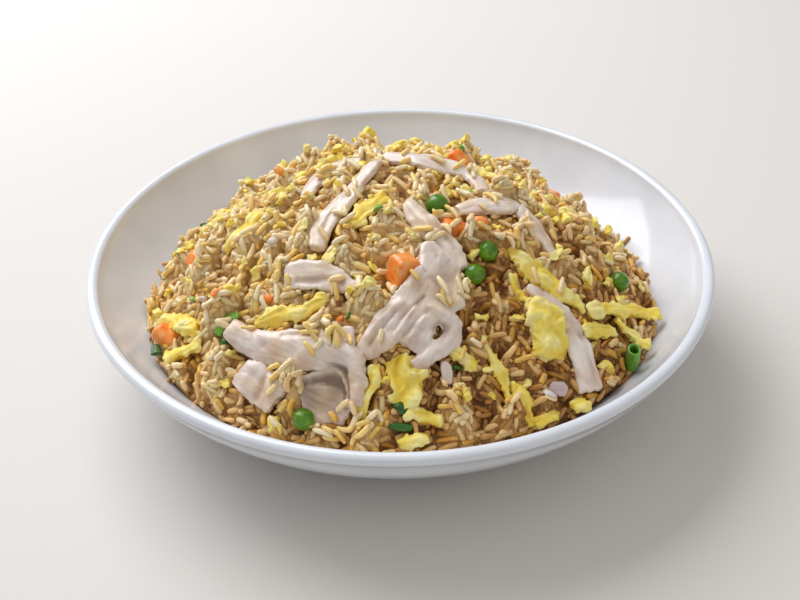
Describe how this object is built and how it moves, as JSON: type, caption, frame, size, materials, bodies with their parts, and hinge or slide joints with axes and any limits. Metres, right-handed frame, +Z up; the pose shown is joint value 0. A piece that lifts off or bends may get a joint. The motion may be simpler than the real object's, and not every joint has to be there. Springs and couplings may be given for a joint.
{
  "type": "fried rice plate",
  "caption": "White coupe plate with a rolled lip holding a heaped mound of fried rice topped with sliced chicken, scrambled egg, peas, diced carrot, scallion and onion.",
  "frame": {"origin": "centre of the foot ring's base, on the table", "axes": "+Z up out of the plate; -Y towards the diner, the side the mound's top leans to"},
  "size_m": [0.24, 0.24, 0.0804],
  "materials": {
    "porcelain": "smooth white glaze",
    "rice": "cooked rice, slightly oily",
    "chicken": "poached chicken, moist",
    "egg": "scrambled egg, soft sheen",
    "pea": "cooked pea skin, glossy",
    "carrot": "cooked carrot, moist",
    "scallion": "cut scallion green, moist",
    "onion": "cooked shallot, translucent"
  },
  "bodies": {
    "root": {"plate": "porcelain", "rice": "rice", "chicken_fold": "chicken", "chicken_square": "chicken", "chicken_torn": "chicken", "chicken_strip_left": "chicken", "chicken_back_left": "chicken", "chicken_crest": "chicken", "chicken_right_top": "chicken", "chicken_strip_right": "chicken", "chicken_strip_mid": "chicken", "chicken_flat_left": "chicken", "chicken_long_right": "chicken", "chicken_chip": "chicken", "chicken_far_a": "chicken", "chicken_far_b": "chicken", "egg_ribbon_top": "egg", "egg_ribbon_long": "egg", "egg_ribbon_low": "egg", "egg_lump": "egg", "egg_under": "egg", "egg_ball": "egg", "egg_upright": "egg", "egg_hook": "egg", "egg_left_a": "egg", "egg_left_b": "egg", "egg_clump_a": "egg", "egg_clump_b": "egg", "egg_curl": "egg", "egg_torn": "egg", "egg_tail": "egg", "egg_wedge": "egg", "egg_thread": "egg", "egg_stem": "egg", "egg_flat": "egg", "egg_fringe": "egg", "egg_low": "egg", "egg_front": "egg", "egg_crest": "egg", "egg_far": "egg", "pea_top": "pea", "pea_mid": "pea", "pea_hero": "pea", "pea_right": "pea", "pea_front": "pea", "pea_back_right": "pea", "pea_far": "pea", "carrot_mid": "carrot", "carrot_left": "carrot", "carrot_corner": "carrot", "carrot_crest": "carrot", "carrot_deep": "carrot", "carrot_far": "carrot", "scallion_tube": "scallion", "scallion_far": "scallion", "scallion_left": "scallion", "scallion_light": "scallion", "scallion_front": "scallion", "onion_right": "onion", "onion_front": "onion"}
  },
  "joints": []
}
